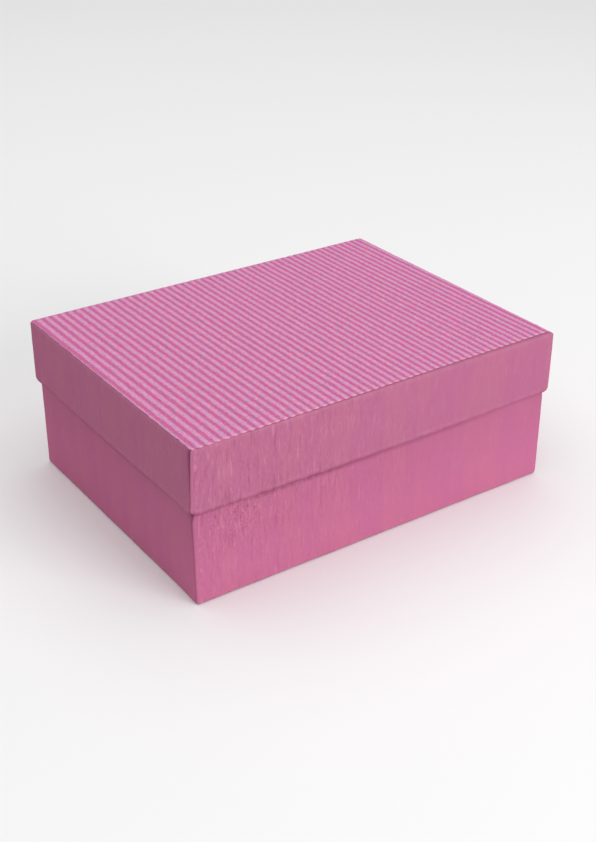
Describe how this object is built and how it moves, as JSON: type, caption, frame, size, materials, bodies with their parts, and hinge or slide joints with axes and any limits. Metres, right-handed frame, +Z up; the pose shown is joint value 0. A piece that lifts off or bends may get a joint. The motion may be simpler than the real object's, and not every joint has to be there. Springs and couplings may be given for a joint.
{
  "type": "hat box",
  "caption": "Rigid rectangular hat box covered in plain cloth, with a lift-off lid whose top carries a pinstriped cloth panel.",
  "frame": {"origin": "middle of the underside, on the surface that the box stands on", "axes": "+X along the width, towards the right when the front is faced; +Y from the front to the back; +Z up"},
  "size_m": [0.38, 0.29, 0.148],
  "materials": {
    "cover_cloth": "slubbed pink cloth",
    "striped_cloth": "two-tone pink pinstriped cloth",
    "grey_board": "pulp greyboard",
    "corner_tape": "gummed kraft paper",
    "lining_paper": "uncoated off-white paper",
    "foot_paper": "uncoated pink paper"
  },
  "bodies": {
    "base": {"base_floor_board": "grey_board", "base_wall_front": "grey_board", "base_wall_back": "grey_board", "base_wall_left": "grey_board", "base_wall_right": "grey_board", "base_corner_stay_front_left": "corner_tape", "base_corner_stay_front_right": "corner_tape", "base_corner_stay_back_left": "corner_tape", "base_corner_stay_back_right": "corner_tape", "base_wrap": "cover_cloth", "base_foot_sheet": "foot_paper", "base_wall_lining": "lining_paper", "base_floor_lining": "lining_paper"},
    "lid": {"lid_top_board": "grey_board", "lid_wall_front": "grey_board", "lid_wall_back": "grey_board", "lid_wall_left": "grey_board", "lid_wall_right": "grey_board", "lid_corner_stay_front_left": "corner_tape", "lid_corner_stay_front_right": "corner_tape", "lid_corner_stay_back_left": "corner_tape", "lid_corner_stay_back_right": "corner_tape", "lid_wrap": "cover_cloth", "lid_top_sheet": "striped_cloth", "lid_wall_lining": "lining_paper", "lid_top_lining": "lining_paper"}
  },
  "joints": [
    {"name": "lid_lift", "type": "slide", "parent": "base", "child": "lid", "axis": [0, 0, 1], "range_m": [0, 0.16]}
  ]
}
